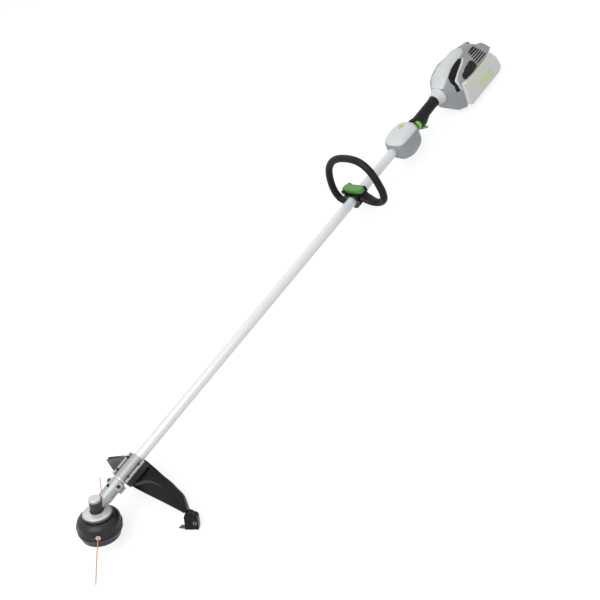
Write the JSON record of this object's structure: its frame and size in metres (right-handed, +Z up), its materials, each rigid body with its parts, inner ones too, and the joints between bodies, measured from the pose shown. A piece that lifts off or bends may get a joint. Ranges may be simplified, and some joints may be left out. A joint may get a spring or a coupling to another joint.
{
  "type": "cordless brush cutter",
  "caption": "Straight-shaft battery brush cutter with line head, guard, loop handle, trigger grip, motor housing and slide-on battery.",
  "frame": {"origin": "on the ground, under the middle of the tool's box without its two loose line ends", "axes": "+X along the shaft from the cutting head to the battery, +Y to the operator's right, +Z up"},
  "size_m": [1.7805, 0.3414, 0.223],
  "materials": {
    "black_plastic": "fine moulded texture",
    "black_rubber": "soft-touch",
    "light_grey_plastic": "satin",
    "grey_plastic": "fine moulded texture",
    "dark_grey_plastic": "fine moulded texture",
    "green_plastic": "satin",
    "bright_green_plastic": "satin",
    "battery_plastic": "satin",
    "cells": "shrink sleeve",
    "white_nylon": "matt",
    "orange_line": "clear nylon",
    "tube_aluminium": "anodised",
    "cast_aluminium": "cast and painted",
    "dish_aluminium": "polished",
    "steel": "zinc plated",
    "copper": "enamelled windings",
    "circuit_board": "solder mask"
  },
  "bodies": {
    "tool": {"shaft_tube": "tube_aluminium", "shaft_bush_1": "white_nylon", "shaft_bush_2": "white_nylon", "shaft_bush_3": "white_nylon", "gearbox_housing": "cast_aluminium", "gearbox_cap": "dish_aluminium", "spindle_bearing_upper": "steel", "spindle_bearing_lower": "steel", "pinion_bearing": "steel", "gearbox_clamp_bolt": "steel", "gearbox_locating_screw": "steel", "guard_shell": "black_plastic", "guard_clamp_upper": "cast_aluminium", "guard_clamp_lower": "cast_aluminium", "guard_bolt_1": "steel", "guard_bolt_2": "steel", "guard_bolt_3": "steel", "guard_bolt_4": "steel", "line_cutter_blade": "steel", "front_housing_upper": "light_grey_plastic", "front_housing_lower": "grey_plastic", "controller_board": "circuit_board", "grip_left_half": "black_rubber", "grip_right_half": "black_rubber", "trigger_switch": "dark_grey_plastic", "rear_collar": "light_grey_plastic", "hood_shell": "light_grey_plastic", "housing_left": "grey_plastic", "housing_right": "grey_plastic", "vent_grille_left": "black_plastic", "vent_grille_right": "black_plastic", "battery_rail": "dark_grey_plastic", "terminal_block": "black_plastic", "motor_stator": "copper", "motor_bearing_rear": "steel"},
    "cutting_head": {"output_gear": "steel", "output_spindle": "steel", "flange_dish": "dish_aluminium", "head_upper_housing": "black_plastic", "head_lower_cover": "black_plastic", "line_spool": "dark_grey_plastic", "line_eyelet_front": "steel", "line_eyelet_rear": "steel", "trimmer_line_front": "orange_line", "trimmer_line_rear": "orange_line"},
    "drive_line": {"drive_shaft": "steel", "drive_pinion": "steel", "motor_rotor": "steel"},
    "bump_knob": {"bump_knob": "black_plastic", "bump_spring": "steel"},
    "loop_handle": {"loop_handle": "black_rubber", "handle_lower_jaw": "black_plastic", "handle_draw_bolt": "steel"},
    "clamp_lever": {"handle_clamp_lever": "green_plastic"},
    "trigger": {"trigger": "bright_green_plastic"},
    "lock_off": {"lock_off_saddle": "bright_green_plastic"},
    "battery": {"battery_case": "battery_plastic", "battery_lid": "dark_grey_plastic", "cell_pack": "cells"},
    "battery_latch": {"battery_latch": "dark_grey_plastic"}
  },
  "joints": [
    {"name": "head_spin", "type": "hinge", "parent": "tool", "child": "cutting_head", "pos_m": [-0.7905, 0.02022, 0.11829], "axis": [0.4884, 0.0871, 0.8683], "continuous": true},
    {"name": "drive_spin", "type": "hinge", "parent": "tool", "child": "drive_line", "pos_m": [-0.76051, 0.02022, 0.11764], "axis": [0.9998, 0, -0.0217], "continuous": true},
    {"name": "bump_press", "type": "slide", "parent": "cutting_head", "child": "bump_knob", "axis": [0.4884, 0.0871, 0.8683], "range_m": [0, 0.006], "stiffness_N_per_m": 900, "springref_m": -0.004},
    {"name": "handle_slide", "type": "slide", "parent": "tool", "child": "loop_handle", "axis": [0.9998, 0, -0.0217], "range_m": [-0.06, 0.04]},
    {"name": "clamp_lever_swing", "type": "hinge", "parent": "loop_handle", "child": "clamp_lever", "pos_m": [0.24857, 0.05306, 0.11022], "axis": [-0.9998, 0, 0.0217], "range_deg": [0, 100]},
    {"name": "trigger_pull", "type": "hinge", "parent": "tool", "child": "trigger", "pos_m": [0.54658, 0.01839, 0.07089], "axis": [0.0021, -0.9951, 0.0987], "range_deg": [0, 12], "stiffness_Nm_per_rad": 0.6, "springref_deg": -11.46},
    {"name": "lock_off_slide", "type": "slide", "parent": "tool", "child": "lock_off", "axis": [-0.9998, 0, 0.0217], "range_m": [0, 0.003], "stiffness_N_per_m": 600, "springref_m": -0.003},
    {"name": "battery_slide", "type": "slide", "parent": "tool", "child": "battery", "axis": [0.9998, 0, -0.0217], "range_m": [0, 0.12]},
    {"name": "battery_latch_press", "type": "hinge", "parent": "tool", "child": "battery_latch", "pos_m": [0.83501, 0.02249, 0.10595], "axis": [-0.0021, 0.9951, -0.0987], "range_deg": [0, 9], "stiffness_Nm_per_rad": 1.2, "springref_deg": -11.46}
  ],
  "couplings": [
    {"joint": "drive_spin", "follows": "head_spin", "ratio": -1.3}
  ]
}
